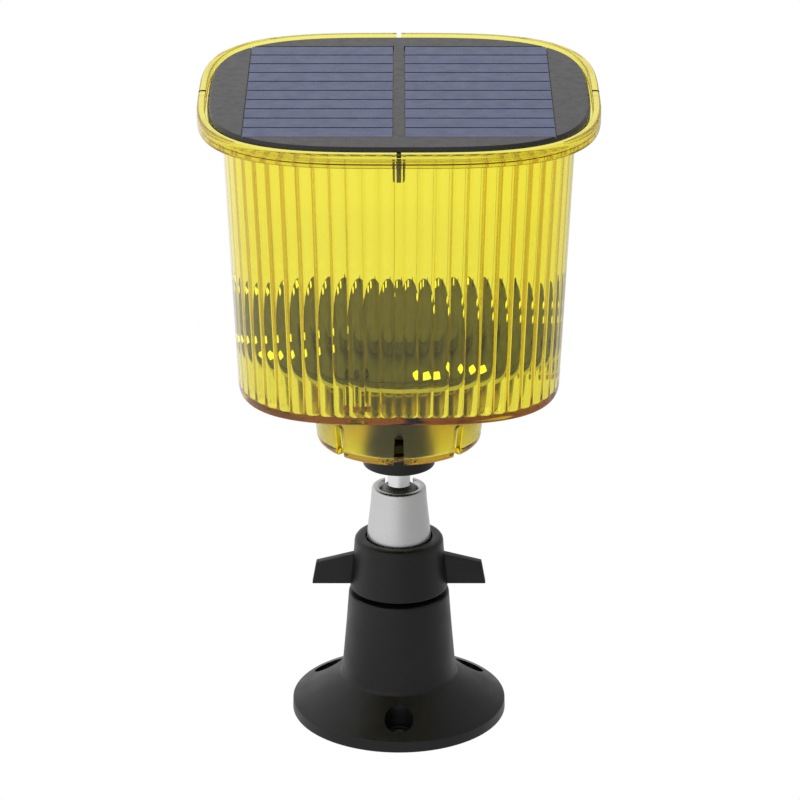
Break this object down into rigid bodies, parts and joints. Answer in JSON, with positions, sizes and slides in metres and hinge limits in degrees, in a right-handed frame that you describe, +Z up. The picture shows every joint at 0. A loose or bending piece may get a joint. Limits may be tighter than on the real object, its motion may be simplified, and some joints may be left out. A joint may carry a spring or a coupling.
{
  "type": "barricade warning light",
  "caption": "Solar warning beacon with a yellow fluted lamp body and a flat panel on top, on a ball stud held by a winged clamping collar over a round screw-down flange.",
  "frame": {"origin": "centre of the mounting flange's underside", "axes": "+Z up along the bracket's axis towards the solar panel, -Y towards the front, where one flange screw is, +X to the viewer's right"},
  "size_m": [0.1088, 0.1088, 0.1855],
  "materials": {
    "black_plastic": "satin moulded black plastic",
    "steel": "bright polished plated steel",
    "slip_ring": "plain white slip plastic",
    "sleeve_silver": "satin silver",
    "black_rubber": "soft matt black",
    "yellow_lens": "clear yellow tinted plastic, smooth outside",
    "dark_plastic": "moulded dark grey plastic",
    "battery_wrap": "shrink wrap",
    "circuit_board": "white solder mask",
    "black_screw": "blackened steel",
    "panel_board": "fine-grained dark grey board",
    "solar_cell": "blue-grey polycrystalline cell",
    "led_face": "diffusing white",
    "lead_jacket": "plain insulation"
  },
  "bodies": {
    "base": {"mounting_base": "black_plastic", "clamp_pillar": "steel", "pillar_screw": "steel"},
    "ring": {"friction_ring": "slip_ring"},
    "collar": {"wing_collar": "black_plastic"},
    "sleeve": {"socket_sleeve": "sleeve_silver"},
    "stud": {"ball_stud": "steel"},
    "washer": {"rubber_washer": "black_rubber"},
    "nut": {"lock_nut": "black_plastic"},
    "lamp": {"mount_boss": "yellow_lens", "stud_hub": "black_plastic", "lens_housing": "yellow_lens", "led_deck": "dark_plastic", "battery_tray": "dark_plastic", "battery_cell": "battery_wrap", "led_board": "circuit_board", "led_1": "led_face", "led_2": "led_face", "led_3": "led_face", "led_4": "led_face", "led_5": "led_face", "led_6": "led_face", "led_7": "led_face", "led_8": "led_face", "deck_screw_1": "black_screw", "deck_screw_2": "black_screw", "deck_screw_3": "black_screw", "deck_screw_4": "black_screw", "driver_chip": "black_plastic", "button_switch": "black_plastic", "panel_board": "panel_board", "cell_left_1": "solar_cell", "cell_left_2": "solar_cell", "cell_left_3": "solar_cell", "cell_left_4": "solar_cell", "cell_left_5": "solar_cell", "cell_left_6": "solar_cell", "cell_left_7": "solar_cell", "cell_left_8": "solar_cell", "cell_left_9": "solar_cell", "cell_left_10": "solar_cell", "cell_right_1": "solar_cell", "cell_right_2": "solar_cell", "cell_right_3": "solar_cell", "cell_right_4": "solar_cell", "cell_right_5": "solar_cell", "cell_right_6": "solar_cell", "cell_right_7": "solar_cell", "cell_right_8": "solar_cell", "cell_right_9": "solar_cell", "cell_right_10": "solar_cell", "panel_frame": "dark_plastic", "panel_gasket": "black_rubber", "panel_lead": "lead_jacket"},
    "button": {"power_button": "black_rubber"}
  },
  "joints": [
    {"name": "collar_lift", "type": "slide", "parent": "base", "child": "ring", "axis": [0, 0, 1], "range_m": [0, 0.0007]},
    {"name": "collar_turn", "type": "hinge", "parent": "ring", "child": "collar", "pos_m": [0, 0, 0.046], "axis": [0, 0, 1], "range_deg": [0, 120]},
    {"name": "sleeve_swivel", "type": "hinge", "parent": "base", "child": "sleeve", "pos_m": [0, 0, 0.06], "axis": [0, 0, 1], "continuous": true},
    {"name": "ball_tilt", "type": "hinge", "parent": "sleeve", "child": "stud", "pos_m": [0, 0, 0.0639], "axis": [-1, 0, 0], "range_deg": [-20, 75]},
    {"name": "lamp_spin", "type": "hinge", "parent": "stud", "child": "lamp", "pos_m": [0, 0, 0.09], "axis": [0, 0, 1], "range_deg": [-180, 180]},
    {"name": "washer_slide", "type": "slide", "parent": "stud", "child": "washer", "axis": [0, 0, 1], "range_m": [-0.00127, 0]},
    {"name": "nut_turn", "type": "hinge", "parent": "washer", "child": "nut", "pos_m": [0, 0, 0.0784], "axis": [0, 0, 1], "range_deg": [-360, 0]},
    {"name": "button_press", "type": "slide", "parent": "lamp", "child": "button", "axis": [0, 0, 1], "range_m": [0, 0.001], "stiffness_N_per_m": 400, "springref_m": -0.0008}
  ],
  "couplings": [
    {"joint": "collar_lift", "follows": "collar_turn", "m_per_rad": 0.0002785},
    {"joint": "nut_turn", "follows": "washer_slide", "rad_per_m": 4950.5}
  ]
}
